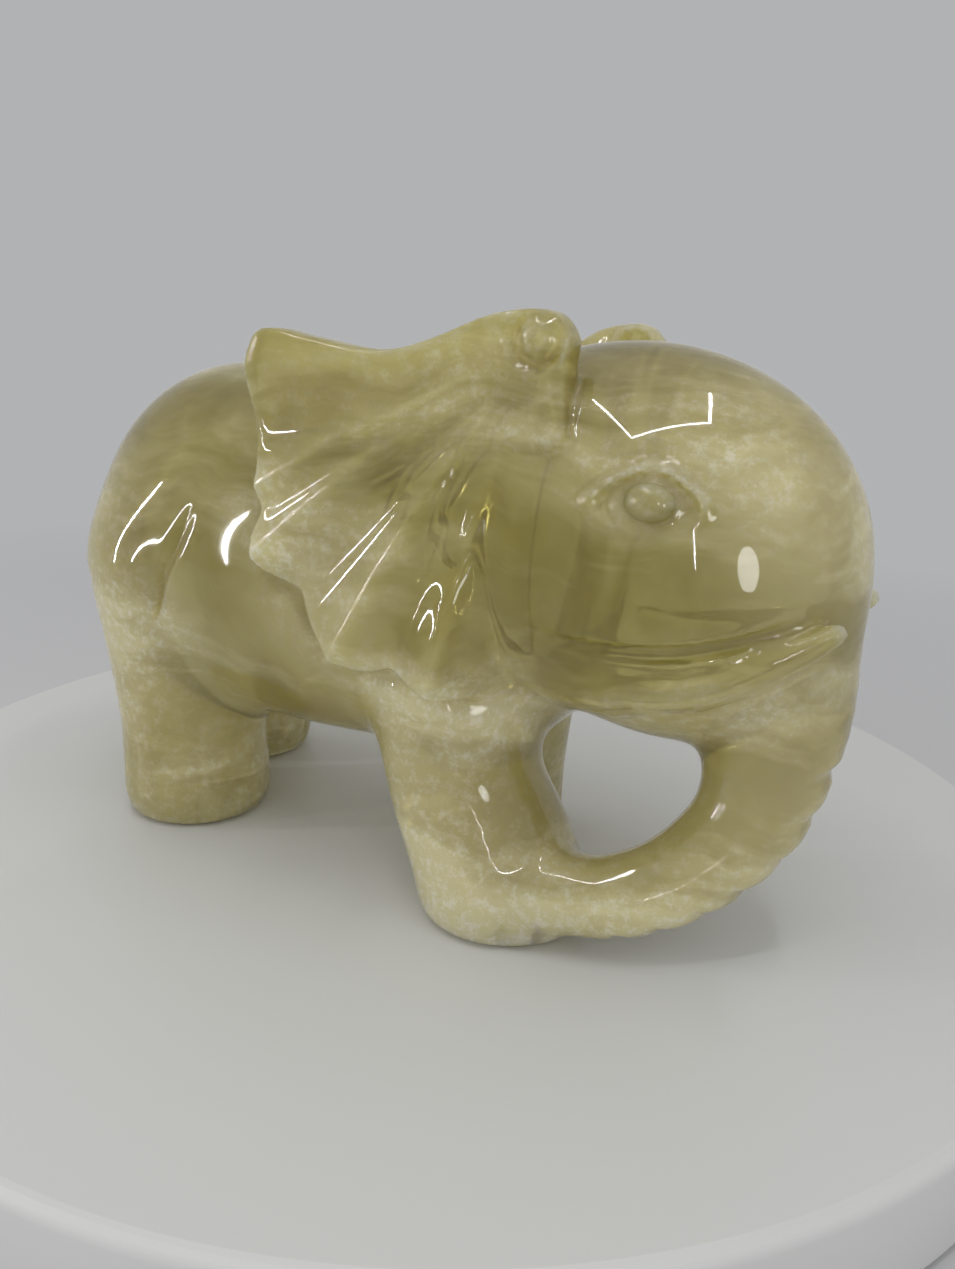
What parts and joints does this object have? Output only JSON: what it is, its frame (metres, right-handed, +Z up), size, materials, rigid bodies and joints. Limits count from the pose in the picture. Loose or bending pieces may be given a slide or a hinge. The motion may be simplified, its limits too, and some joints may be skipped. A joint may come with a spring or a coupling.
{
  "type": "carved elephant figurine",
  "caption": "Free-standing walking elephant carved in polished translucent yellow-green crystal, with ears spread back and its trunk curled round to a front foot.",
  "frame": {"origin": "on the ground under the middle of the figure, centre of the bounding box's bottom face", "axes": "+X towards the elephant's head and trunk, +Y to the elephant's left, +Z up from the soles"},
  "size_m": [0.1872, 0.0886, 0.1216],
  "materials": {
    "crystal": "high-gloss polished translucent natural crystal, olive yellow with milky veils"
  },
  "bodies": {
    "root": {"torso": "crystal", "head": "crystal", "trunk": "crystal", "lower_lip": "crystal", "tail": "crystal", "right_ear": "crystal", "left_ear": "crystal", "right_tusk": "crystal", "left_tusk": "crystal", "right_eye": "crystal", "left_eye": "crystal", "right_front_leg": "crystal", "left_front_leg": "crystal", "right_hind_leg": "crystal", "left_hind_leg": "crystal"}
  },
  "joints": []
}
